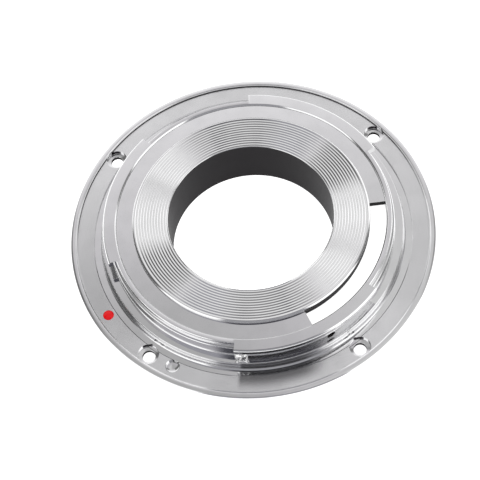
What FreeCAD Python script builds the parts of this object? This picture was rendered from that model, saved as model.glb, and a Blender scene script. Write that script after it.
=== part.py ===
import FreeCAD, Part
import os
from math import cos, radians, sin

# Lens mount adapter: a bayonet ring with a recessed baffle plate and a grooved light tube.
# Millimetres.  +Z points out of the bayonet, along the optical axis.
# Z = 0 is the top of the flange's rim lip.

# Spigot, the collar that a camera's throat centres
spigot_radius = 26.65
spigot_height = 1.12
spigot_flare_run = 0.35
spigot_flare_top_z = 0.25

# Flange, from the spigot's foot out to the rim
flange_thickness = 1.9
relief_width = 1.2
relief_depth = 0.4
relief_wall_run = 0.05
face_width = 3.05
lip_height = 0.3
lip_top_width = 1.05
rim_edge_break = 0.15

# Neck and bayonet lugs
spigot_ledge_width = 1.55
neck_height = 2.3
lug_reach = 1.0
lug_thickness = 1.2
lug_edge_run = 0.25
lug_edge_drop = 0.25
lug_start_angles = (-103.2, 24.5, 132.0)
lug_spans = (61.2, 59.5, 60.5)
gap_wall_depth = 0.45

# Seat for the baffle plate
neck_wall = 1.4
seat_edge_break = 0.22
back_counterbore = 0.55

# Baffle plate with an open arc slot in its edge
plate_thickness = 1.15
plate_recess = 0.3
slot_start_angle = -71.0
slot_span = 70.0
slot_undercut = 0.02

# Light tube with a grooved head
bore_radius = 14.5
tube_wall = 1.2
tube_reach = 4.93
head_to_seat = 2.85
head_outer_height = 0.63
head_dish = 0.24
head_edge_run = 0.3
head_edge_drop = 0.2
head_land_width = 0.15
groove_count = 12
groove_depth = 0.12

# Countersunk screw holes through the flange
screw_inset = 1.4
screw_hole_angles = (-58.9, -133.7, 140.5, 34.4)
screw_hole_radius = 1.075
countersink_radius = 1.85

# Blind hole for a lock pin
lock_inset = 1.15
lock_angle = -124.3
lock_hole_radius = 1.15
lock_hole_depth = 0.8
drill_point_depth = 0.3

# Index dot
dot_inset = 1.45
dot_angle = -154.1
dot_radius = 0.93
dot_seat_depth = 0.4
dot_crown = 0.18
dot_top_radius = 0.5

# Headless stop screw, set radially in the neck below a lug, and the empty hole like its own
stop_angle = -100.9
spare_hole_angle = -64.5
stop_reach = 1.32
stop_end_wall = 0.25
stop_side_gap = 0.1
stop_slot_width = 0.4
stop_slot_depth = 0.4
stop_slot_turn = 62.0

# Fits
press_clearance = 0.02
overcut = 1.0

# Radii that follow from the sizes above
spigot_foot_radius = spigot_radius + spigot_flare_run
relief_floor_radius = spigot_foot_radius + relief_width
face_inner_radius = relief_floor_radius + relief_wall_run
face_outer_radius = face_inner_radius + face_width
rim_radius = face_outer_radius + lip_top_width + rim_edge_break
neck_radius = spigot_radius - spigot_ledge_width
lug_radius = neck_radius + lug_reach
gap_wall_radius = neck_radius - gap_wall_depth
seat_radius = neck_radius - neck_wall
ring_bore_radius = seat_radius + back_counterbore
head_radius = seat_radius - head_to_seat
head_top_radius = head_radius - head_edge_run
grooves_outer_radius = head_top_radius - head_land_width
slot_inner_radius = head_radius - slot_undercut
tube_outer_radius = bore_radius + tube_wall
screw_circle_radius = face_inner_radius + screw_inset
lock_circle_radius = face_inner_radius + lock_inset
dot_circle_radius = face_inner_radius + dot_inset
stop_radius = neck_height / 2 - stop_side_gap
stop_outer_radius = neck_radius + stop_reach
stop_inner_radius = ring_bore_radius + stop_end_wall

# Heights that follow from the sizes above
back_z = -flange_thickness
face_z = -lip_height
relief_z = face_z - relief_depth
spigot_top_z = spigot_height
lug_underside_z = spigot_top_z + neck_height
lug_top_z = lug_underside_z + lug_thickness
plate_top_z = lug_top_z - plate_recess
plate_bottom_z = plate_top_z - plate_thickness
head_outer_z = plate_top_z + head_outer_height
head_inner_z = head_outer_z - head_dish
tube_bottom_z = -tube_reach
stop_z = spigot_top_z + neck_height / 2

origin = FreeCAD.Vector(0, 0, 0)
up = FreeCAD.Vector(0, 0, 1)


def on_circle(radius, angle, height):
    """The point at a radius, an angle in degrees and a height."""
    return FreeCAD.Vector(radius * cos(radians(angle)), radius * sin(radians(angle)), height)


def turned(points, start_angle=0, span=360):
    """(radius, height) points revolved about Z, span degrees on from start_angle."""
    loop = [FreeCAD.Vector(radius, 0, height) for radius, height in points]
    loop.append(loop[0])
    solid = Part.Face(Part.makePolygon(loop)).revolve(origin, up, span)
    solid.rotate(origin, up, start_angle)
    return solid


def rod(center, radius, bottom_z, top_z):
    """A cylinder along Z through center."""
    base = FreeCAD.Vector(center.x, center.y, bottom_z)
    return Part.makeCylinder(radius, top_z - bottom_z, base)


def cone(center, bottom_radius, top_radius, bottom_z, top_z):
    """A cone frustum along Z through center."""
    base = FreeCAD.Vector(center.x, center.y, bottom_z)
    return Part.makeCone(bottom_radius, top_radius, top_z - bottom_z, base)


def stop_rod(radius, angle):
    """A cylinder along a radius of the neck, as long as the stop screw."""
    base = on_circle(stop_inner_radius, angle, stop_z)
    length = stop_outer_radius - stop_inner_radius
    return Part.makeCylinder(radius, length, base, on_circle(1, angle, 0))


def ring_blank():
    """The turned blank: flange, spigot, neck and the crown that the lugs are cut from."""
    return turned([
        (ring_bore_radius, back_z),
        (rim_radius, back_z),
        (rim_radius, -rim_edge_break),
        (rim_radius - rim_edge_break, 0),
        (face_outer_radius, 0),
        (face_outer_radius, face_z),
        (face_inner_radius, face_z),
        (relief_floor_radius, relief_z),
        (spigot_foot_radius, relief_z),
        (spigot_radius, spigot_flare_top_z),
        (spigot_radius, spigot_top_z),
        (neck_radius, spigot_top_z),
        (neck_radius, lug_underside_z),
        (lug_radius, lug_underside_z),
        (lug_radius, lug_top_z - lug_edge_drop),
        (lug_radius - lug_edge_run, lug_top_z),
        (seat_radius + seat_edge_break, lug_top_z),
        (seat_radius, lug_top_z - seat_edge_break),
        (seat_radius, plate_bottom_z),
        (ring_bore_radius, plate_bottom_z),
    ])


def gap_cutters():
    """The sectors milled away between the bayonet lugs."""
    section = [
        (gap_wall_radius, lug_underside_z),
        (gap_wall_radius, lug_top_z + overcut),
        (lug_radius + overcut, lug_top_z + overcut),
        (lug_radius + overcut, lug_underside_z),
    ]
    next_starts = lug_start_angles[1:] + lug_start_angles[:1]
    cutters = []
    for lug_start, lug_span, next_start in zip(lug_start_angles, lug_spans, next_starts):
        gap_start = lug_start + lug_span
        cutters.append(turned(section, gap_start, (next_start - gap_start) % 360))
    return cutters


def screw_hole_cutters():
    """Countersunk clearance holes through the flange."""
    sink_depth = countersink_radius - screw_hole_radius
    cutters = []
    for angle in screw_hole_angles:
        center = on_circle(screw_circle_radius, angle, 0)
        cutters.append(rod(center, screw_hole_radius, back_z - overcut, overcut))
        cutters.append(cone(center, screw_hole_radius, countersink_radius, face_z - sink_depth, face_z))
        cutters.append(rod(center, countersink_radius, face_z, face_z + overcut))
    return cutters


def lock_hole_cutter():
    """A blind hole with a drilled bottom."""
    center = on_circle(lock_circle_radius, lock_angle, 0)
    floor_z = face_z - lock_hole_depth
    hole = rod(center, lock_hole_radius, floor_z, face_z + overcut)
    point = cone(center, 0, lock_hole_radius, floor_z - drill_point_depth, floor_z)
    return hole.fuse(point)


def mount_ring():
    """Flange, spigot, neck and bayonet lugs, turned and milled from one blank."""
    dot_center = on_circle(dot_circle_radius, dot_angle, 0)
    cutters = gap_cutters() + screw_hole_cutters()
    cutters.append(lock_hole_cutter())
    cutters.append(rod(dot_center, dot_radius + press_clearance, face_z - dot_seat_depth, overcut))
    cutters.append(stop_rod(stop_radius + press_clearance, stop_angle))
    cutters.append(stop_rod(stop_radius + press_clearance, spare_hole_angle))
    return ring_blank().cut(cutters)


def baffle_plate():
    """The recessed plate with an open arc slot in its edge."""
    inner = tube_outer_radius + press_clearance
    outer = seat_radius - press_clearance
    blank = turned([
        (inner, plate_bottom_z),
        (outer, plate_bottom_z),
        (outer, plate_top_z),
        (inner, plate_top_z),
    ])
    slot = turned([
        (slot_inner_radius, plate_bottom_z - overcut),
        (seat_radius + overcut, plate_bottom_z - overcut),
        (seat_radius + overcut, plate_top_z + overcut),
        (slot_inner_radius, plate_top_z + overcut),
    ], slot_start_angle, slot_span)
    return blank.cut(slot)


def head_z(radius):
    """Height of the head's gently dished top at a radius."""
    share = (radius - bore_radius) / (head_top_radius - bore_radius)
    return head_inner_z + share * head_dish


def light_tube():
    """The grooved head and the tube below it, turned as one piece."""
    groove_pitch = (grooves_outer_radius - bore_radius) / groove_count
    points = [
        (bore_radius, tube_bottom_z),
        (tube_outer_radius, tube_bottom_z),
        (tube_outer_radius, plate_top_z),
        (head_radius, plate_top_z),
        (head_radius, head_outer_z - head_edge_drop),
        (head_top_radius, head_outer_z),
        (grooves_outer_radius, head_z(grooves_outer_radius)),
    ]
    for index in range(groove_count):
        middle = grooves_outer_radius - (index + 0.5) * groove_pitch
        crest = middle - groove_pitch / 2
        points.append((middle, head_z(middle) - groove_depth))
        points.append((crest, head_z(crest)))
    return turned(points)


def index_dot():
    """The domed dot that marks where the bayonet goes in."""
    center = on_circle(dot_circle_radius, dot_angle, 0)
    stem = rod(center, dot_radius, face_z - dot_seat_depth, face_z)
    crown = cone(center, dot_radius, dot_top_radius, face_z, face_z + dot_crown)
    return stem.fuse(crown)


def stop_screw():
    """The slotted screw that ends the bayonet's travel."""
    shank = stop_rod(stop_radius, stop_angle)
    slot = Part.makeBox(
        stop_slot_depth + overcut, stop_slot_width, 4 * stop_radius,
        FreeCAD.Vector(stop_outer_radius - stop_slot_depth, -stop_slot_width / 2, -2 * stop_radius))
    slot.rotate(origin, FreeCAD.Vector(1, 0, 0), stop_slot_turn)
    slot.translate(FreeCAD.Vector(0, 0, stop_z))
    slot.rotate(origin, up, stop_angle)
    return shank.cut(slot)


parts = {
    "mount_ring": mount_ring,
    "baffle_plate": baffle_plate,
    "light_tube": light_tube,
    "index_dot": index_dot,
    "stop_screw": stop_screw,
}

os.makedirs("parts", exist_ok=True)
for name, build in parts.items():
    shape = build()
    shape.exportStep("parts/" + name + ".step")
    box = shape.BoundBox
    print(name, shape.isValid(), len(shape.Solids), round(shape.Volume, 2), round(box.ZMin, 3), round(box.ZMax, 3))
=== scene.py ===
import logging
from collections.abc import Sequence
from dataclasses import dataclass, field
from enum import Enum
from math import cos, pi, radians, sin
from typing import Any

import bmesh
import bpy
from mathutils import Matrix, Vector


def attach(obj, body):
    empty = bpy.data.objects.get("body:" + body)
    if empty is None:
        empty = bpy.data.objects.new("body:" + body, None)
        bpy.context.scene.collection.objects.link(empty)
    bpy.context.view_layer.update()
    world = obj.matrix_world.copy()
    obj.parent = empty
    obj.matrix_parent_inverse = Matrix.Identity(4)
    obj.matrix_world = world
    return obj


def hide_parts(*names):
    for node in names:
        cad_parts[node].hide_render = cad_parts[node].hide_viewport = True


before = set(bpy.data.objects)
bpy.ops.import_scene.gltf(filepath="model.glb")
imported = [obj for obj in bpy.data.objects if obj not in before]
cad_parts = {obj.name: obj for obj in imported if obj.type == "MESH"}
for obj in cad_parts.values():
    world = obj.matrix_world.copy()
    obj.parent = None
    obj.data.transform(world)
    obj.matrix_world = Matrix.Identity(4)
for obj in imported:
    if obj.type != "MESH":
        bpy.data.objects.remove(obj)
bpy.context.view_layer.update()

log = logging.getLogger("mount_adapter")

MM = 0.001
OVERCUT = 1.0
ON_AXIS = 1e-6
MERGE_DISTANCE = 1e-5
EDGE_BLUR = 0.02
QUARTER_TURN = 0.25
FULL_TURN = 2 * pi


class Node(Enum):
    """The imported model's nodes, each with the material slot that it is finished from."""

    MOUNT_RING = "ring_chrome"
    BAFFLE_PLATE = "plate_chrome"
    LIGHT_TUBE = "tube_chrome"
    INDEX_DOT = "dot_red"
    STOP_SCREW = "screw_steel"


class Tint(Enum):
    """Plain colours, linear, each with its alpha."""

    # Black: matt paint in a bore, and painted shade elsewhere
    BLACK_PAINT_AND_SHADE = (0.006, 0.004, 0.006, 1.0)
    DUSTY_BLACK_PAINT_AND_SHADE = (0.012, 0.009, 0.012, 1.0)
    # Painted dark reflection beside the stop screw
    DARK_REFLECTION = (0.03, 0.028, 0.03, 1.0)
    # Painted shade on recess walls
    RECESS_SHADE = (0.06, 0.055, 0.06, 1.0)
    RED = (0.92, 0.008, 0.012, 1.0)
    DEEP_RED = (0.78, 0.004, 0.008, 1.0)
    FLOOR = (0.85, 0.85, 0.85, 1.0)
    WHITE = (1.0, 1.0, 1.0, 1.0)


class Smoothness(Enum):
    """How many steps a turned form takes round its axis."""

    RING = 384
    GROOVED = 512
    HOLE = 96
    SMALL = 64


@dataclass(frozen=True)
class Corner:
    """A corner of a turned outline, with how far its edge is eased, in millimetres."""

    radius: float
    height: float
    ease: float = 0.0


@dataclass
class Outline:
    """A closed outline in the plane of radius and height, ready for turning."""

    corners: list[Corner]
    ease_steps: int = 3

    def wire(self) -> bmesh.types.BMesh:
        """Lay the outline out at angle 0, with its corners eased.

        Returns:
            A bmesh that holds the outline's loop, open where it runs along the axis.
        """
        mesh = bmesh.new()
        verts = [mesh.verts.new((corner.radius, 0, corner.height)) for corner in self.corners]
        mesh.faces.new(verts)
        for ease in sorted({corner.ease for corner in self.corners if corner.ease}):
            picked = [vert for vert, corner in zip(verts, self.corners) if corner.ease == ease]
            bmesh.ops.bevel(
                mesh, geom=picked, offset=ease, segments=self.ease_steps,
                profile=0.5, material=-1, affect="VERTICES")
        bmesh.ops.delete(mesh, geom=mesh.faces[:], context="FACES_ONLY")
        on_axis = [edge for edge in mesh.edges if max(vert.co.x for vert in edge.verts) < ON_AXIS]
        bmesh.ops.delete(mesh, geom=on_axis, context="EDGES")
        return mesh

    def turned(self, smoothness: Smoothness) -> bmesh.types.BMesh:
        """Spin the outline once round Z.

        Args:
            smoothness: How many steps the turn takes.

        Returns:
            A closed bmesh in millimetres.
        """
        mesh = self.wire()
        bmesh.ops.spin(
            mesh, geom=mesh.verts[:] + mesh.edges[:], cent=(0, 0, 0), axis=(0, 0, 1),
            angle=FULL_TURN, steps=smoothness.value, use_merge=True)
        bmesh.ops.remove_doubles(mesh, verts=mesh.verts[:], dist=MERGE_DISTANCE)
        bmesh.ops.recalc_face_normals(mesh, faces=mesh.faces[:])
        return mesh

    def sector(self, start: float, span: float) -> bmesh.types.BMesh:
        """Spin the outline through part of a turn and close its ends.

        Args:
            start: The angle in degrees where the sector starts.
            span: How many degrees it covers.

        Returns:
            A closed bmesh in millimetres.
        """
        mesh = self.wire()
        turn = Matrix.Rotation(radians(start), 3, "Z")
        bmesh.ops.rotate(mesh, verts=mesh.verts[:], cent=(0, 0, 0), matrix=turn)
        bmesh.ops.spin(
            mesh, geom=mesh.verts[:] + mesh.edges[:], cent=(0, 0, 0), axis=(0, 0, 1),
            angle=radians(span), steps=round(span), use_merge=False)
        bmesh.ops.holes_fill(mesh, edges=mesh.edges[:])
        bmesh.ops.recalc_face_normals(mesh, faces=mesh.faces[:])
        return mesh


def polar(radius: float, angle: float, height: float = 0.0) -> Vector:
    """The point at a radius, an angle in degrees and a height."""
    return Vector((radius * cos(radians(angle)), radius * sin(radians(angle)), height))


def moved(mesh: bmesh.types.BMesh, place: Matrix) -> bmesh.types.BMesh:
    """Put a mesh in its place, and give it back."""
    bmesh.ops.transform(mesh, matrix=place, verts=mesh.verts[:])
    return mesh


def radial_place(radius: float, angle: float, height: float) -> Matrix:
    """The place of something turned whose axis lies along a radius.

    Args:
        radius: Where its own origin lies.
        angle: The radius's angle in degrees.
        height: The axis's height.

    Returns:
        A matrix that takes +Z to the outward radius.
    """
    lie_down = Matrix.Rotation(radians(90), 4, "Y")
    face_out = Matrix.Rotation(radians(angle), 4, "Z")
    return Matrix.Translation(polar(radius, angle, height)) @ face_out @ lie_down


def loose_object(mesh: bmesh.types.BMesh, name: str) -> bpy.types.Object:
    """Give a mesh an object in the scene.

    Args:
        mesh: The mesh, which is freed.
        name: The object's name.

    Returns:
        The new object.
    """
    data = bpy.data.meshes.new(name)
    mesh.to_mesh(data)
    mesh.free()
    made = bpy.data.objects.new(name, data)
    bpy.context.scene.collection.objects.link(made)
    return made


def carved(blank: bmesh.types.BMesh, cutters: Sequence[bmesh.types.BMesh]) -> bmesh.types.BMesh:
    """Mill and drill a blank.

    Args:
        blank: The solid that is cut.
        cutters: Solids that are taken away, none of them touching another.

    Returns:
        What is left, in millimetres.
    """
    tools = bmesh.new()
    for cutter in cutters:
        passing = bpy.data.meshes.new("passing")
        cutter.to_mesh(passing)
        cutter.free()
        tools.from_mesh(passing)
        bpy.data.meshes.remove(passing)
    tool = loose_object(tools, "tool")
    stock = loose_object(blank, "stock")
    cut = stock.modifiers.new("cut", "BOOLEAN")
    cut.operation = "DIFFERENCE"
    cut.solver = "EXACT"
    cut.object = tool
    left = bmesh.new()
    left.from_object(stock, bpy.context.evaluated_depsgraph_get())
    for used in (stock, tool):
        bpy.data.meshes.remove(used.data)
    bmesh.ops.remove_doubles(left, verts=left.verts[:], dist=MERGE_DISTANCE)
    return left


def finished_piece(
        mesh: bmesh.types.BMesh, node: Node, material: bpy.types.Material,
        sharp_angle: float = 38.0) -> bpy.types.Object:
    """Turn a mesh in millimetres into the piece that stands for a node.

    Args:
        mesh: The mesh, which is freed.
        node: The node that the piece replaces.
        material: The piece's finish.
        sharp_angle: Edges that turn by more degrees than this stay sharp.

    Returns:
        The finished object.
    """
    bmesh.ops.scale(mesh, vec=(MM, MM, MM), verts=mesh.verts[:])
    for face in mesh.faces:
        face.smooth = True
    name = node.name.lower()
    piece = loose_object(mesh, name + "_finished")
    piece.data.set_sharp_from_angle(angle=radians(sharp_angle))
    piece.data.materials.append(material)
    weighted = piece.modifiers.new("flat faces stay flat", "WEIGHTED_NORMAL")
    weighted.keep_sharp = True
    weighted.weight = 100
    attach(piece, "root")
    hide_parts(name)
    log.info("%s: %d faces", piece.name, len(piece.data.polygons))
    return piece


class Wire:
    """A shader socket that takes part in Python arithmetic."""

    def __init__(self, bench: "ShaderBench", socket: bpy.types.NodeSocket) -> None:
        """Wrap a socket of a bench's node tree."""
        self.bench = bench
        self.socket = socket

    def joined(self, operation: str, *others: "Wire | float") -> "Wire":
        """Add a Math node whose first input is this wire."""
        sockets = dict(enumerate((self, *others)))
        return self.bench.node("ShaderNodeMath", {"operation": operation}, sockets)

    def __add__(self, other: "Wire | float") -> "Wire":
        """Add."""
        return self.joined("ADD", other)

    __radd__ = __add__

    def __mul__(self, other: "Wire | float") -> "Wire":
        """Multiply."""
        return self.joined("MULTIPLY", other)

    __rmul__ = __mul__

    def __sub__(self, other: "Wire | float") -> "Wire":
        """Subtract."""
        return self.joined("SUBTRACT", other)

    def __rsub__(self, other: float) -> "Wire":
        """Subtract this from a number."""
        return self.bench.node("ShaderNodeMath", {"operation": "SUBTRACT"}, {0: other, 1: self})

    def __pow__(self, other: float) -> "Wire":
        """Raise to a power."""
        return self.joined("POWER", other)

    def largest(self, other: "Wire | float") -> "Wire":
        """The larger of two values."""
        return self.joined("MAXIMUM", other)

    def step(self, low: float, high: float) -> "Wire":
        """Rise smoothly from 0 at low to 1 at high."""
        sockets = {0: self, 1: low, 2: high, 3: 0.0, 4: 1.0}
        return self.bench.node("ShaderNodeMapRange", {"interpolation_type": "SMOOTHSTEP"}, sockets)


class ShaderBench:
    """Builds one node tree."""

    def __init__(self, tree: bpy.types.NodeTree) -> None:
        """Start with an empty tree."""
        self.tree = tree
        self.tree.nodes.clear()

    def node(
            self, kind: str, settings: dict[str, Any] | None = None,
            sockets: dict[str | int, Any] | None = None, output: str | int = 0) -> Wire:
        """Add a node.

        Args:
            kind: The node's type.
            settings: Its properties, set before anything else.
            sockets: Values or wires for its inputs, by name or number.
            output: The output that is given back.

        Returns:
            The chosen output as a wire.
        """
        made = self.tree.nodes.new(kind)
        for name, value in (settings or {}).items():
            setattr(made, name, value)
        for name, value in (sockets or {}).items():
            if isinstance(value, Wire):
                self.tree.links.new(value.socket, made.inputs[name])
            else:
                made.inputs[name].default_value = value
        return Wire(self, made.outputs[output])

    def mixed(self, factor: Wire, first: Any, second: Any) -> Wire:
        """Mix two colours by a factor."""
        return self.node("ShaderNodeMix", {"data_type": "RGBA"}, {0: factor, 6: first, 7: second}, 2)

    def finish(self, kind: str, surface: Wire) -> None:
        """Feed the tree's output node."""
        made = self.tree.nodes.new(kind)
        self.tree.links.new(surface.socket, made.inputs["Surface"])


@dataclass(frozen=True)
class Finish:
    """What every finish of the adapter has."""

    name: str

    def start(self) -> tuple[bpy.types.Material, ShaderBench]:
        """Make an empty material.

        Returns:
            The material, and the bench that fills it.
        """
        material = bpy.data.materials.new(self.name)
        material.use_nodes = True
        return material, ShaderBench(material.node_tree)

    def position(self, bench: ShaderBench) -> tuple[Wire, Wire, Wire, Wire]:
        """Read a surface point in millimetres.

        Args:
            bench: The bench of the material's tree.

        Returns:
            The point as a vector, then its x, y and z.
        """
        place = bench.node("ShaderNodeTexCoord", output="Object")
        scaled = bench.node("ShaderNodeVectorMath", {"operation": "SCALE"}, {0: place, "Scale": 1 / MM})
        parts = [bench.node("ShaderNodeSeparateXYZ", {}, {0: scaled}, axis) for axis in range(3)]
        return scaled, parts[0], parts[1], parts[2]

    def noise(self, bench: ShaderBench, place: Wire, scale: float, detail: float = 3.0) -> Wire:
        """Noise over a point, one value from 0 to 1."""
        sockets = {"Vector": place, "Scale": scale, "Detail": detail, "Roughness": 0.55}
        return bench.node("ShaderNodeTexNoise", {"noise_dimensions": "3D"}, sockets)

    def ridges(self, bench: ShaderBench, radius: Wire, scale: float, detail: float = 2.0) -> Wire:
        """Noise over the radius alone, as a lathe tool leaves it."""
        sockets = {"W": radius, "Scale": scale, "Detail": detail, "Roughness": 0.6}
        return bench.node("ShaderNodeTexNoise", {"noise_dimensions": "1D"}, sockets)


@dataclass(frozen=True)
class Sector:
    """Part of a turned surface that a finish treats apart, in millimetres and degrees."""

    start: float
    end: float
    inner: float
    outer: float
    top: float
    start_blur: float = 0.2
    end_blur: float = 0.2
    outer_blur: float = EDGE_BLUR

    def mask(self, angle: Wire, radius: Wire, height: Wire) -> Wire:
        """How far a surface point lies inside the sector.

        Args:
            angle: The point's angle in degrees, from -180 to 180.
            radius: The point's radius.
            height: The point's height.

        Returns:
            A value from 0 to 1.
        """
        begun = angle.step(self.start - self.start_blur, self.start + self.start_blur)
        ended = angle.step(self.end - self.end_blur, self.end + self.end_blur)
        within = 1.0 - radius.step(self.outer - self.outer_blur, self.outer + self.outer_blur)
        beyond = radius.step(self.inner - EDGE_BLUR, self.inner + EDGE_BLUR)
        under = 1.0 - height.step(self.top - EDGE_BLUR, self.top + EDGE_BLUR)
        return begun * (1.0 - ended) * within * beyond * under


@dataclass(frozen=True)
class RecessShade:
    """Painted shade on the wall of a recess, in millimetres."""

    x: float
    y: float
    half_width: float = 0.85
    half_depth: float = 0.3
    top: float = -0.33
    foot: float = -1.1
    width_blur: float = 0.12
    depth_blur: float = 0.05

    def mask(self, x: Wire, y: Wire, z: Wire) -> Wire:
        """How far a surface point lies inside the patch.

        Args:
            x: The point's x.
            y: The point's y.
            z: The point's z.

        Returns:
            A value from 0 to 1.
        """
        aside = (x - self.x).joined("ABSOLUTE")
        ahead = (y - self.y).joined("ABSOLUTE")
        across = 1.0 - aside.step(self.half_width - self.width_blur, self.half_width + self.width_blur)
        along = 1.0 - ahead.step(self.half_depth - self.depth_blur, self.half_depth + self.depth_blur)
        under = 1.0 - z.step(self.top - EDGE_BLUR, self.top + EDGE_BLUR)
        over = z.step(self.foot - EDGE_BLUR, self.foot + EDGE_BLUR)
        return across * along * under * over


@dataclass(frozen=True)
class TurnedChrome(Finish):
    """Chrome plate over turned brass, matt black inside a bore where there is one, with painted shade and
    painted dark reflections where a piece is given them.
    """

    tone: tuple[float, float, float] = (0.86, 0.86, 0.865)
    worn_share: float = 0.94
    worn_range: tuple[float, float] = (0.35, 0.7)
    smear_scale: float = 0.22
    grain_scale: float = 9.0
    broad_scale: float = 1.6
    fine_scale: float = 11.0
    broad_height: float = 0.7
    fine_height: float = 0.22
    grain_height: float = 0.03
    ridge_height: float = 0.0006
    roughness: float = 0.08
    smear_roughness: float = 0.05
    fine_roughness: float = 0.04
    anisotropy: float = 0.45
    edge_radius: float = 0.03
    edge_samples: int = 6
    height_blur: float = 0.03
    black_within: float = 0.0
    black_below: float = -100.0
    black_roughness: float = 0.3
    black_grain: float = 0.1
    black_specular: float = 0.14
    satin_from: float = 100.0
    satin_to: float = 101.0
    satin_roughness: float = 0.25
    satin_anisotropy: float = 0.9
    satin_above: float = -0.34
    # Sectors painted black: painted shade and painted dark reflections
    black_sectors: tuple[Sector, ...] = ()
    # A painted dark reflection: its sector, how dark it is, and how much smears lighten it
    dark_reflection_sector: Sector | None = None
    dark_reflection_strength: float = 0.72
    dark_reflection_smears: float = 0.15
    # Painted shade on recess walls
    recess_shades: tuple[RecessShade, ...] = ()

    def material(self) -> bpy.types.Material:
        """Build the material.

        Returns:
            A material with turning marks, faint smears and an optional blackened bore, plus any painted
            shade and painted dark reflections.
        """
        material, bench = self.start()
        place, x, y, z = self.position(bench)
        radius = (x * x + y * y) ** 0.5
        angle = y.joined("ARCTAN2", x) * (180.0 / pi)
        smears = self.noise(bench, place, self.smear_scale, 4.0)
        grain = self.noise(bench, place, self.grain_scale, 2.0)
        broad = self.ridges(bench, radius, self.broad_scale)
        fine = self.ridges(bench, radius, self.fine_scale)
        color = self.plated_color(bench, smears)
        # Painted dark reflection in its sector, a little lighter where smeared
        if self.dark_reflection_sector:
            dark_reflection = self.dark_reflection_sector.mask(angle, radius, z) * (self.dark_reflection_strength - smears * self.dark_reflection_smears)
            color = bench.mixed(dark_reflection, color, Tint.DARK_REFLECTION.value)
        # Painted shade on the far walls of recesses
        for recess_shade in self.recess_shades:
            color = bench.mixed(recess_shade.mask(x, y, z), color, Tint.RECESS_SHADE.value)
        # Black: matt paint in a bore, painted shade and painted dark reflections in the sectors and below
        # a given height
        black = self.blackened(angle, radius, z)
        speckled = bench.mixed(grain, Tint.BLACK_PAINT_AND_SHADE.value, Tint.DUSTY_BLACK_PAINT_AND_SHADE.value)
        color = bench.mixed(black, color, speckled)
        smoothest = self.roughness - (self.smear_roughness + self.fine_roughness) / 2
        roughness = smears * self.smear_roughness + fine * self.fine_roughness + smoothest
        roughness = roughness + black * (self.black_roughness + grain * self.black_grain)
        relief = broad * self.broad_height + fine * self.fine_height + grain * self.grain_height
        eased = bench.node("ShaderNodeBevel", {"samples": self.edge_samples}, {
            "Radius": self.edge_radius * MM})
        bump = bench.node("ShaderNodeBump", {}, {
            "Height": relief, "Strength": 1.0, "Distance": self.ridge_height * MM, "Normal": eased})
        polished = bench.node("ShaderNodeBsdfPrincipled", {}, {
            "Base Color": color, "Metallic": 1.0 - black, "Roughness": roughness, "Normal": bump,
            "Anisotropic": self.anisotropy, "Anisotropic Rotation": QUARTER_TURN,
            "Specular IOR Level": self.black_specular})
        satin = bench.node("ShaderNodeBsdfPrincipled", {}, {
            "Base Color": color, "Metallic": 1.0, "Normal": bump,
            "Roughness": roughness + (self.satin_roughness - self.roughness),
            "Anisotropic": self.satin_anisotropy, "Anisotropic Rotation": QUARTER_TURN})
        faced = self.faced(radius, z)
        surface = bench.node("ShaderNodeMixShader", {}, {0: faced, 1: polished, 2: satin})
        bench.finish("ShaderNodeOutputMaterial", surface)
        return material

    def plated_color(self, bench: ShaderBench, smears: Wire) -> Wire:
        """Colour the bare plating, a little darker where it is smeared."""
        darker = tuple(self.worn_share * level for level in self.tone)
        return bench.mixed(smears.step(*self.worn_range), (*self.tone, 1.0), (*darker, 1.0))

    def blackened(self, angle: Wire, radius: Wire, z: Wire) -> Wire:
        """How black a surface point is: matt black paint in a bore, painted shade and painted dark
        reflections elsewhere.

        Args:
            angle: The point's angle in degrees, from -180 to 180.
            radius: The point's radius.
            z: The point's height.

        Returns:
            A value from 0 to 1.
        """
        black = 1.0 - z.step(self.black_below - self.height_blur, self.black_below)
        for sector in self.black_sectors:
            black = black.largest(sector.mask(angle, radius, z))
        if self.black_within:
            beyond = radius.step(self.black_within - EDGE_BLUR, self.black_within + EDGE_BLUR)
            black = black.largest(1.0 - beyond)
        return black

    def faced(self, radius: Wire, z: Wire) -> Wire:
        """How far a surface point lies on the satin face.

        Args:
            radius: The point's radius.
            z: The point's height.

        Returns:
            A value from 0 to 1.
        """
        beyond = radius.step(self.satin_from, self.satin_from + EDGE_BLUR)
        within = 1.0 - radius.step(self.satin_to - EDGE_BLUR, self.satin_to)
        return beyond * within * z.step(self.satin_above, self.satin_above + self.height_blur)


@dataclass(frozen=True)
class RedEnamel(Finish):
    """Glossy red enamel in the index dot."""

    wave_scale: float = 1.4
    dust_scale: float = 14.0
    dust_height: float = 0.05
    relief: float = 0.02
    roughness: float = 0.12
    dust_roughness: float = 0.1
    specular: float = 0.3

    def material(self) -> bpy.types.Material:
        """Build the material.

        Returns:
            A red material with a wavy, faintly dusty surface.
        """
        material, bench = self.start()
        place = self.position(bench)[0]
        waves = self.noise(bench, place, self.wave_scale, 1.0)
        dust = self.noise(bench, place, self.dust_scale, 3.0)
        color = bench.mixed(waves, Tint.RED.value, Tint.DEEP_RED.value)
        roughness = dust * self.dust_roughness + self.roughness
        bump = bench.node("ShaderNodeBump", {}, {
            "Height": waves + dust * self.dust_height, "Strength": 1.0, "Distance": self.relief * MM})
        surface = bench.node("ShaderNodeBsdfPrincipled", {}, {
            "Base Color": color, "Roughness": roughness, "Normal": bump,
            "Specular IOR Level": self.specular})
        bench.finish("ShaderNodeOutputMaterial", surface)
        return material


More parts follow.
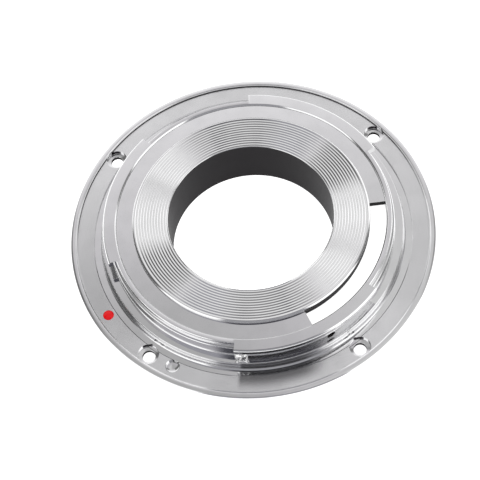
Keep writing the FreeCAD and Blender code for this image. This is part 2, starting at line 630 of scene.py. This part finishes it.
@dataclass(frozen=True)
class BrightSteel(Finish):
    """Bright turned steel of the stop screw."""

    tone: tuple[float, float, float] = (0.93, 0.93, 0.93)
    worn_share: float = 0.8
    scratch_scale: float = 6.0
    relief: float = 0.01
    roughness: float = 0.16
    scratch_roughness: float = 0.15

    def material(self) -> bpy.types.Material:
        """Build the material.

        Returns:
            A steel material with fine scratches.
        """
        material, bench = self.start()
        place = self.position(bench)[0]
        scratches = self.noise(bench, place, self.scratch_scale, 4.0)
        darker = tuple(self.worn_share * level for level in self.tone)
        color = bench.mixed(scratches, (*self.tone, 1.0), (*darker, 1.0))
        roughness = scratches * self.scratch_roughness + self.roughness
        bump = bench.node("ShaderNodeBump", {}, {
            "Height": scratches, "Strength": 1.0, "Distance": self.relief * MM})
        surface = bench.node("ShaderNodeBsdfPrincipled", {}, {
            "Base Color": color, "Metallic": 1.0, "Roughness": roughness, "Normal": bump})
        bench.finish("ShaderNodeOutputMaterial", surface)
        return material


@dataclass
class MountRing:
    """Flange, spigot, neck and bayonet lugs, turned and milled from one blank."""

    rim_radius: float = 32.5
    rim_break: float = 0.15
    back_ease: float = 0.15
    lip_radius: float = 31.3
    lip_line_from: float = 0.13
    lip_line_middle: float = 0.21
    lip_line_to: float = 0.29
    lip_line_depth: float = 0.06
    face_inner_radius: float = 28.25
    spigot_radius: float = 26.65
    flare_radius: float = 1.35
    flare_lean: float = 50.0
    flare_steps: int = 8
    neck_radius: float = 25.1
    lug_radius: float = 26.1
    gap_wall_radius: float = 24.65
    seat_radius: float = 23.7
    bore_radius: float = 24.25
    back_z: float = -1.9
    face_z: float = -0.3
    relief_z: float = -0.7
    spigot_top_z: float = 1.12
    lug_underside_z: float = 3.42
    lug_top_z: float = 4.62
    lug_edge: float = 0.25
    seat_z: float = 3.17
    seat_edge: float = 0.22
    gap_edge: float = 0.1
    lug_starts: tuple[float, ...] = (-103.2, 24.5, 132.0)
    lug_spans: tuple[float, ...] = (61.2, 59.5, 60.5)
    screw_angles: tuple[float, ...] = (-58.9, -133.7, 140.5, 34.4)
    screw_circle_radius: float = 29.65
    screw_radius: float = 1.12
    screw_head_radius: float = 1.85
    screw_head_depth: float = 0.85
    lock_circle_radius: float = 29.4
    lock_angle: float = -124.3
    lock_radius: float = 1.15
    lock_depth: float = 0.8
    drill_point: float = 0.3
    lock_edge: float = 0.1
    dot_circle_radius: float = 29.7
    dot_angle: float = -154.1
    dot_seat_radius: float = 0.95
    dot_seat_depth: float = 0.4
    stop_angles: tuple[float, ...] = (-100.9, -64.5)
    stop_radii: tuple[float, ...] = (1.07, 0.8)
    stop_z: float = 2.27
    stop_floor_radius: float = 24.5
    finish: TurnedChrome = field(
        default_factory=lambda: TurnedChrome(
            "ring chrome", satin_from=28.26, satin_to=31.28,
            # Painted shade, black: the screw holes below their ledges, dark lines at the lip's foot and at
            # the relief's edge, the inside of the empty hole
            black_sectors=(
                Sector(-180.0, -129.0, 24.5, 31.5, -1.22),
                Sector(-119.0, 180.0, 24.5, 31.5, -1.22),
                Sector(22.0, 174.0, 31.27, 31.34, -0.05, start_blur=8.0, end_blur=6.0),
                Sector(-176.0, -104.0, 28.3, 28.38, -0.1, start_blur=6.0, end_blur=2.0),
                Sector(-74.0, -24.0, 28.3, 28.38, -0.1, start_blur=3.0, end_blur=6.0),
                Sector(-67.5, -61.5, 24.4, 25.09, 3.4)),
            # Painted shade on the far wall of each screw recess
            recess_shades=(
                RecessShade(15.32, -23.67), RecessShade(-20.48, -19.72), RecessShade(-22.88, 20.58), RecessShade(24.46, 18.47)),
            # Painted dark reflection on the flange and relief beside the stop screw
            dark_reflection_sector=Sector(
                -101.3, -75.0, 27.2, 29.9, -0.2, start_blur=0.7, end_blur=5.0, outer_blur=1.2)))

    def blank(self) -> bmesh.types.BMesh:
        """Turn the blank that the gaps and holes are cut from."""
        return Outline([
            Corner(self.bore_radius, self.back_z, self.back_ease),
            Corner(self.rim_radius, self.back_z, self.back_ease),
            Corner(self.rim_radius, -self.rim_break, 0.04),
            Corner(self.rim_radius - self.rim_break, 0.0, 0.04),
            Corner(self.lip_radius + self.lip_line_to, 0.0, 0.03),
            Corner(self.lip_radius + self.lip_line_middle, -self.lip_line_depth),
            Corner(self.lip_radius + self.lip_line_from, 0.0, 0.03),
            Corner(self.lip_radius, 0.0, 0.08),
            Corner(self.lip_radius, self.face_z),
            Corner(self.face_inner_radius, self.face_z, 0.09),
            Corner(self.face_inner_radius, self.relief_z),
            *self.flare(),
            Corner(self.spigot_radius, self.spigot_top_z, 0.1),
            Corner(self.neck_radius, self.spigot_top_z, 0.18),
            Corner(self.neck_radius, self.lug_underside_z),
            Corner(self.lug_radius, self.lug_underside_z, 0.06),
            Corner(self.lug_radius, self.lug_top_z - self.lug_edge, 0.1),
            Corner(self.lug_radius - self.lug_edge, self.lug_top_z, 0.1),
            Corner(self.seat_radius + self.seat_edge, self.lug_top_z, 0.04),
            Corner(self.seat_radius, self.lug_top_z - self.seat_edge, 0.04),
            Corner(self.seat_radius, self.seat_z),
            Corner(self.bore_radius, self.seat_z),
        ]).turned(Smoothness.RING)

    def flare(self) -> list[Corner]:
        """The hollow flare at the spigot's foot, from the relief's floor up.

        Returns:
            Corners along an arc that leans out at its foot and is upright at its top.
        """
        top_z = self.relief_z + self.flare_radius * sin(radians(self.flare_lean))
        corners = []
        for step in range(self.flare_steps, -1, -1):
            lean = radians(self.flare_lean * step / self.flare_steps)
            out = self.flare_radius * (1.0 - cos(lean))
            corners.append(Corner(self.spigot_radius + out, top_z - self.flare_radius * sin(lean)))
        return corners

    def gaps(self) -> list[bmesh.types.BMesh]:
        """The sectors that are milled away between the bayonet lugs.

        Returns:
            One closed cutter for each gap.
        """
        wall, edge, top, foot = self.gap_wall_radius, self.gap_edge, self.lug_top_z, self.lug_underside_z
        section = Outline([
            Corner(wall, foot, 0.08),
            Corner(wall, top - edge),
            Corner(wall - edge - OVERCUT, top + OVERCUT),
            Corner(self.lug_radius + OVERCUT, top + OVERCUT),
            Corner(self.lug_radius + OVERCUT, foot - OVERCUT),
            Corner(self.neck_radius - edge + OVERCUT, foot - OVERCUT),
            Corner(self.neck_radius - edge, foot),
        ])
        next_starts = self.lug_starts[1:] + self.lug_starts[:1]
        cutters = []
        for start, span, next_start in zip(self.lug_starts, self.lug_spans, next_starts):
            gap_start = start + span
            cutters.append(section.sector(gap_start, (next_start - gap_start) % 360))
        return cutters

    def screw_holes(self) -> list[bmesh.types.BMesh]:
        """The screw holes through the flange, each with a recess for the screw's head.

        Returns:
            One closed cutter for each hole.
        """
        seat_z = self.face_z - self.screw_head_depth
        section = Outline([
            Corner(0.0, self.back_z - OVERCUT),
            Corner(self.screw_radius, self.back_z - OVERCUT),
            Corner(self.screw_radius, seat_z, 0.05),
            Corner(self.screw_head_radius, seat_z, 0.04),
            Corner(self.screw_head_radius, OVERCUT),
            Corner(0.0, OVERCUT),
        ])
        places = [polar(self.screw_circle_radius, angle) for angle in self.screw_angles]
        return [moved(section.turned(Smoothness.HOLE), Matrix.Translation(place)) for place in places]

    def lock_hole(self) -> bmesh.types.BMesh:
        """The blind lock-pin hole, with a drilled bottom and an eased edge.

        Returns:
            A closed cutter.
        """
        floor_z = self.face_z - self.lock_depth
        section = Outline([
            Corner(0.0, floor_z - self.drill_point),
            Corner(self.lock_radius, floor_z),
            Corner(self.lock_radius, self.face_z - self.lock_edge),
            Corner(self.lock_radius + self.lock_edge + OVERCUT, self.face_z + OVERCUT),
            Corner(0.0, self.face_z + OVERCUT),
        ])
        place = Matrix.Translation(polar(self.lock_circle_radius, self.lock_angle))
        return moved(section.turned(Smoothness.HOLE), place)

    def dot_seat(self) -> bmesh.types.BMesh:
        """The recess that holds the index dot.

        Returns:
            A closed cutter.
        """
        floor_z = self.face_z - self.dot_seat_depth
        section = Outline([
            Corner(0.0, floor_z),
            Corner(self.dot_seat_radius, floor_z),
            Corner(self.dot_seat_radius, OVERCUT),
            Corner(0.0, OVERCUT),
        ])
        place = Matrix.Translation(polar(self.dot_circle_radius, self.dot_angle))
        return moved(section.turned(Smoothness.HOLE), place)

    def stop_holes(self) -> list[bmesh.types.BMesh]:
        """The two radial holes in the neck, one of them for the stop screw.

        Returns:
            One closed cutter for each hole.
        """
        length = self.spigot_radius - self.stop_floor_radius
        cutters = []
        for angle, radius in zip(self.stop_angles, self.stop_radii):
            section = Outline([
                Corner(0.0, 0.0),
                Corner(radius, 0.0),
                Corner(radius, length),
                Corner(0.0, length),
            ])
            place = radial_place(self.stop_floor_radius, angle, self.stop_z)
            cutters.append(moved(section.turned(Smoothness.HOLE), place))
        return cutters

    def build(self) -> bpy.types.Object:
        """Cut the blank and dress it.

        Returns:
            The finished ring.
        """
        cutters = self.gaps() + self.screw_holes() + self.stop_holes()
        cutters += [self.lock_hole(), self.dot_seat()]
        return finished_piece(carved(self.blank(), cutters), Node.MOUNT_RING, self.finish.material())


@dataclass
class BafflePlate:
    """The recessed plate with an open arc slot in its edge."""

    outer_radius: float = 23.68
    inner_radius: float = 15.72
    bottom_z: float = 3.17
    top_z: float = 4.32
    slot_radius: float = 20.83
    slot_start: float = -71.0
    slot_span: float = 70.0
    # Black below its top face: painted dark reflection on the walls of the slot
    finish: TurnedChrome = field(
        default_factory=lambda: TurnedChrome("plate chrome", black_below=4.28))

    def build(self) -> bpy.types.Object:
        """Turn the plate, mill its slot and dress it.

        Returns:
            The finished plate.
        """
        blank = Outline([
            Corner(self.inner_radius, self.bottom_z),
            Corner(self.outer_radius, self.bottom_z, 0.05),
            Corner(self.outer_radius, self.top_z, 0.06),
            Corner(self.inner_radius, self.top_z),
        ]).turned(Smoothness.RING)
        slot = Outline([
            Corner(self.slot_radius, self.bottom_z - OVERCUT),
            Corner(self.outer_radius + OVERCUT, self.bottom_z - OVERCUT),
            Corner(self.outer_radius + OVERCUT, self.top_z + OVERCUT),
            Corner(self.slot_radius, self.top_z + OVERCUT),
        ]).sector(self.slot_start, self.slot_span)
        return finished_piece(carved(blank, [slot]), Node.BAFFLE_PLATE, self.finish.material())


@dataclass
class LightTube:
    """The grooved head and the tube below it, turned as one piece and blackened inside."""

    bore_radius: float = 14.5
    tube_radius: float = 15.7
    foot_z: float = -4.93
    head_radius: float = 20.85
    head_foot_z: float = 4.32
    head_outer_z: float = 4.95
    head_inner_z: float = 4.71
    edge_run: float = 0.3
    edge_drop: float = 0.2
    land_width: float = 0.15
    bore_edge: float = 0.13
    groove_count: int = 12
    groove_depth: float = 0.12
    # Matt black paint in the bore; black below the head; painted dark reflection on the head's outer wall
    # above the slot
    finish: TurnedChrome = field(
        default_factory=lambda: TurnedChrome(
            "tube chrome", black_within=14.54, black_below=4.28,
            black_sectors=(Sector(-71.2, -0.8, 20.7, 21.2, 4.73),)))

    def top_z(self, radius: float) -> float:
        """Height of the head's gently dished top.

        Args:
            radius: Where the height is taken.

        Returns:
            The height before the grooves are cut.
        """
        top_radius = self.head_radius - self.edge_run
        share = (radius - self.bore_radius) / (top_radius - self.bore_radius)
        return self.head_inner_z + share * (self.head_outer_z - self.head_inner_z)

    def grooves(self) -> list[Corner]:
        """Corners of the grooves, from the outermost in.

        Returns:
            The outer land's edge, then the bottom and the inner crest of each groove.
        """
        outermost = self.head_radius - self.edge_run - self.land_width
        pitch = (outermost - self.bore_radius) / self.groove_count
        corners = [Corner(outermost, self.top_z(outermost), 0.03)]
        for index in range(self.groove_count):
            middle = outermost - (index + 0.5) * pitch
            crest = middle - pitch / 2
            corners.append(Corner(middle, self.top_z(middle) - self.groove_depth, 0.05))
            corners.append(Corner(crest, self.top_z(crest), 0.04))
        return corners[:-1]

    def build(self) -> bpy.types.Object:
        """Turn the head and tube and dress them.

        Returns:
            The finished light tube.
        """
        corners = [
            Corner(self.bore_radius, self.foot_z, 0.1),
            Corner(self.tube_radius, self.foot_z, 0.1),
            Corner(self.tube_radius, self.head_foot_z),
            Corner(self.head_radius, self.head_foot_z),
            Corner(self.head_radius, self.head_outer_z - self.edge_drop, 0.05),
            Corner(self.head_radius - self.edge_run, self.head_outer_z, 0.05),
            *self.grooves(),
            Corner(self.bore_radius + self.bore_edge, self.head_inner_z, 0.03),
            Corner(self.bore_radius, self.head_inner_z - self.bore_edge, 0.03),
        ]
        mesh = Outline(corners).turned(Smoothness.GROOVED)
        return finished_piece(mesh, Node.LIGHT_TUBE, self.finish.material())


@dataclass
class IndexDot:
    """The domed dot that marks where the bayonet goes in."""

    circle_radius: float = 29.7
    angle: float = -154.1
    radius: float = 0.93
    foot_z: float = -0.7
    face_z: float = -0.3
    crown: float = 0.22
    shoulder_radius: float = 0.55
    shoulder_rise: float = 0.85
    sharp_angle: float = 60.0
    finish: RedEnamel = field(default_factory=lambda: RedEnamel("index dot enamel"))

    def build(self) -> bpy.types.Object:
        """Turn the dot, put it in its seat and dress it.

        Returns:
            The finished dot.
        """
        mesh = Outline([
            Corner(0.0, self.foot_z),
            Corner(self.radius, self.foot_z),
            Corner(self.radius, self.face_z, 0.04),
            Corner(self.shoulder_radius * self.radius, self.face_z + self.shoulder_rise * self.crown, 0.3),
            Corner(0.0, self.face_z + self.crown),
        ], ease_steps=6).turned(Smoothness.SMALL)
        dot = moved(mesh, Matrix.Translation(polar(self.circle_radius, self.angle)))
        return finished_piece(dot, Node.INDEX_DOT, self.finish.material(), self.sharp_angle)


@dataclass
class StopScrew:
    """The slotted screw that ends the bayonet's travel."""

    angle: float = -100.9
    height: float = 2.27
    inner_radius: float = 24.5
    outer_radius: float = 26.42
    radius: float = 1.05
    dome_height: float = 0.3
    dome_shoulder: float = 0.55
    dome_drop: float = 0.05
    slot_width: float = 0.4
    slot_depth: float = 0.4
    slot_turn: float = 62.0
    finish: BrightSteel = field(default_factory=lambda: BrightSteel("screw steel"))

    def build(self) -> bpy.types.Object:
        """Turn the shank, saw its slot, set it in the neck and dress it.

        Returns:
            The finished screw.
        """
        length = self.outer_radius - self.inner_radius
        shank = Outline([
            Corner(0.0, 0.0),
            Corner(self.radius, 0.0, 0.05),
            Corner(self.radius, length - self.dome_height, 0.12),
            Corner(self.dome_shoulder * self.radius, length - self.dome_drop, 0.2),
            Corner(0.0, length),
        ]).turned(Smoothness.SMALL)
        slot = bmesh.new()
        bmesh.ops.create_cube(slot, size=1.0)
        size = (self.slot_width, 4 * self.radius, 2 * self.slot_depth)
        bmesh.ops.scale(slot, vec=size, verts=slot.verts[:])
        turn = Matrix.Rotation(radians(self.slot_turn), 4, "Z")
        moved(slot, Matrix.Translation((0, 0, length)) @ turn)
        place = radial_place(self.inner_radius, self.angle, self.height)
        screw = moved(carved(shank, [slot]), place)
        return finished_piece(screw, Node.STOP_SCREW, self.finish.material())


@dataclass(frozen=True)
class Panel:
    """A soft patch of the studio's light, bright or dark, seen from the adapter."""

    azimuth: float
    width: float
    low: float
    high: float
    level: float
    soft: float = 14.0
    rise_soft: float = 6.0
    tint: float = 0.0

    def color(self) -> tuple[float, float, float, float]:
        """The patch's colour, bluer with more tint."""
        return (self.level, self.level, self.level * (1.0 + self.tint), 1.0)

    def mask(self, flat: Wire, rise: Wire) -> Wire:
        """How far a direction lies inside the patch.

        Args:
            flat: The direction without its height, one unit long.
            rise: The direction's height.

        Returns:
            A value from 0 to 1.
        """
        middle = (cos(radians(self.azimuth)), sin(radians(self.azimuth)), 0.0)
        settings = {"operation": "DOT_PRODUCT"}
        near = flat.bench.node("ShaderNodeVectorMath", settings, {0: flat, 1: middle}, "Value")
        half, soft = self.width / 2, self.soft / 2
        across = near.step(cos(radians(half + soft)), cos(radians(max(half - soft, 0.0))))
        give = self.rise_soft
        above = rise.step(sin(radians(self.low - give)), sin(radians(self.low + give)))
        below = 1.0 - rise.step(sin(radians(self.high - give)), sin(radians(min(self.high + give, 90.0))))
        return across * above * below


@dataclass
class Studio:
    """Floor, soft light and camera."""

    floor_z: float = -4.93
    floor_size: float = 6000.0
    floor_glow: float = 1.0
    mirrored_glow: float = 0.7
    low_level: float = 1.3
    high_color: tuple[float, float, float] = (0.52, 0.505, 0.53)
    high_from: float = 40.0
    high_to: float = 70.0
    # Each panel's azimuth and width, its lowest and highest elevation in degrees, and its level
    panels: tuple[Panel, ...] = (
        Panel(100.0, 110.0, 8.0, 46.0, 0.86, soft=30.0),
        Panel(112.0, 36.0, 61.0, 84.0, 0.45, soft=24.0, rise_soft=3.0),
        Panel(68.0, 24.0, 58.0, 84.0, 0.66, soft=16.0, rise_soft=4.0),
        Panel(-95.0, 190.0, 73.0, 100.0, 0.28, soft=30.0),
        Panel(42.0, 50.0, 55.0, 62.0, 0.22, soft=10.0, rise_soft=2.5),
        Panel(139.0, 62.0, 53.0, 63.0, 0.15, soft=8.0, rise_soft=3.0),
        Panel(182.0, 30.0, 44.0, 57.0, 0.95, soft=14.0),
        Panel(166.0, 40.0, 8.0, 58.0, 0.13, soft=10.0, rise_soft=5.0),
        Panel(211.0, 42.0, -15.0, 57.0, 1.25, soft=8.0, rise_soft=4.0),
        Panel(205.0, 62.0, 62.0, 75.0, 0.37, soft=20.0, rise_soft=4.0, tint=0.1),
        Panel(-88.5, 73.0, -30.0, 57.0, 0.34, soft=8.0, tint=0.06),
        Panel(-86.0, 90.0, 57.0, 77.0, 0.07, soft=16.0, rise_soft=3.0, tint=0.2),
        Panel(4.0, 26.0, 8.0, 44.0, 0.2, soft=12.0),
        Panel(-30.0, 44.0, -15.0, 58.0, 1.4, soft=8.0),
        Panel(-8.0, 54.0, 50.0, 68.0, 1.1, soft=12.0),
    )
    lamp_power: float = 1.6
    lamp_height: float = 700.0
    lamp_size: float = 800.0
    sensor_width: float = 36.0
    camera_elevation: float = 59.9
    camera_roll: float = 7.73
    camera_offset: tuple[float, float, float] = (2.16, 1.84, -261.16)
    lens: float = 110.35

    def floor(self) -> bpy.types.Object:
        """Lay the pale floor that the adapter stands on.

        Returns:
            The floor, which is a stage piece.
        """
        mesh = bmesh.new()
        bmesh.ops.create_grid(mesh, x_segments=1, y_segments=1, size=self.floor_size * MM / 2)
        bmesh.ops.translate(mesh, vec=(0, 0, self.floor_z * MM), verts=mesh.verts[:])
        floor = loose_object(mesh, "floor")
        material = bpy.data.materials.new("pale floor")
        material.use_nodes = True
        bench = ShaderBench(material.node_tree)
        seen = bench.node("ShaderNodeLightPath", output="Is Camera Ray")
        glossy = bench.node("ShaderNodeLightPath", output="Is Glossy Ray")
        through = bench.node("ShaderNodeLightPath", output="Is Transmission Ray")
        shown = seen.largest(through).largest(glossy * self.mirrored_glow)
        paint = bench.node("ShaderNodeBsdfDiffuse", {}, {"Color": Tint.FLOOR.value})
        glow = bench.node("ShaderNodeEmission", {}, {
            "Color": Tint.WHITE.value, "Strength": shown * self.floor_glow})
        both = bench.node("ShaderNodeAddShader", {}, {0: paint, 1: glow})
        bench.finish("ShaderNodeOutputMaterial", both)
        floor.data.materials.append(material)
        return floor

    def light(self) -> None:
        """Light the scene with soft patches all round, and show white beyond the floor."""
        world = bpy.data.worlds.new("soft studio")
        world.use_nodes = True
        bpy.context.scene.world = world
        bench = ShaderBench(world.node_tree)
        toward = bench.node("ShaderNodeTexCoord", output="Generated")
        rise = bench.node("ShaderNodeSeparateXYZ", {}, {0: toward}, "Z")
        sockets = {0: toward, 1: (1.0, 1.0, 0.0)}
        level_out = bench.node("ShaderNodeVectorMath", {"operation": "MULTIPLY"}, sockets)
        flat = bench.node("ShaderNodeVectorMath", {"operation": "NORMALIZE"}, {0: level_out})
        low = (self.low_level, self.low_level, self.low_level, 1.0)
        overhead = rise.step(sin(radians(self.high_from)), sin(radians(self.high_to)))
        color = bench.mixed(overhead, low, (*self.high_color, 1.0))
        for panel in self.panels:
            color = bench.mixed(panel.mask(flat, rise), color, panel.color())
        seen = bench.node("ShaderNodeLightPath", output="Is Camera Ray")
        color = bench.mixed(seen, color, Tint.WHITE.value)
        glow = bench.node("ShaderNodeBackground", {}, {"Color": color, "Strength": 1.0})
        bench.finish("ShaderNodeOutputWorld", glow)

    def lamp(self) -> bpy.types.Object:
        """Hang a broad lamp overhead that lights paint, and that chrome doesn't mirror.

        Returns:
            The lamp.
        """
        light = bpy.data.lights.new("overhead", "AREA")
        light.shape = "DISK"
        light.size = self.lamp_size * MM
        light.energy = self.lamp_power
        lamp = bpy.data.objects.new("overhead", light)
        lamp.location = (0.0, 0.0, self.lamp_height * MM)
        lamp.visible_glossy = False
        lamp.visible_camera = False
        bpy.context.scene.collection.objects.link(lamp)
        return lamp

    def camera(self) -> bpy.types.Object:
        """Set up the camera at the photograph's viewing angle.

        Returns:
            The scene's camera.
        """
        tilt = Matrix.Rotation(radians(90.0 - self.camera_elevation), 3, "X")
        roll = Matrix.Rotation(radians(-self.camera_roll), 3, "Z")
        turn = tilt @ roll
        place = turn @ Vector(self.camera_offset) * -MM
        lens = bpy.data.cameras.new("camera")
        lens.lens = self.lens
        lens.sensor_width = self.sensor_width
        lens.clip_start = 0.01
        lens.clip_end = 20.0
        camera = bpy.data.objects.new("camera", lens)
        camera.matrix_world = Matrix.Translation(place) @ turn.to_4x4()
        bpy.context.scene.collection.objects.link(camera)
        bpy.context.scene.camera = camera
        return camera

    def build(self) -> None:
        """Set the floor, the light and the camera, and the plain view of colours."""
        bpy.context.scene.view_settings.view_transform = "Standard"
        self.floor()
        self.light()
        self.lamp()
        self.camera()


def main() -> None:
    """Build the adapter's pieces in order, then the studio."""
    logging.basicConfig(level=logging.INFO, format="%(name)s %(message)s")
    for assembly in (MountRing(), BafflePlate(), LightTube(), IndexDot(), StopScrew()):
        piece = assembly.build()
        log.info("built %s", piece.name)
    Studio().build()


if __name__ == "__main__":
    main()
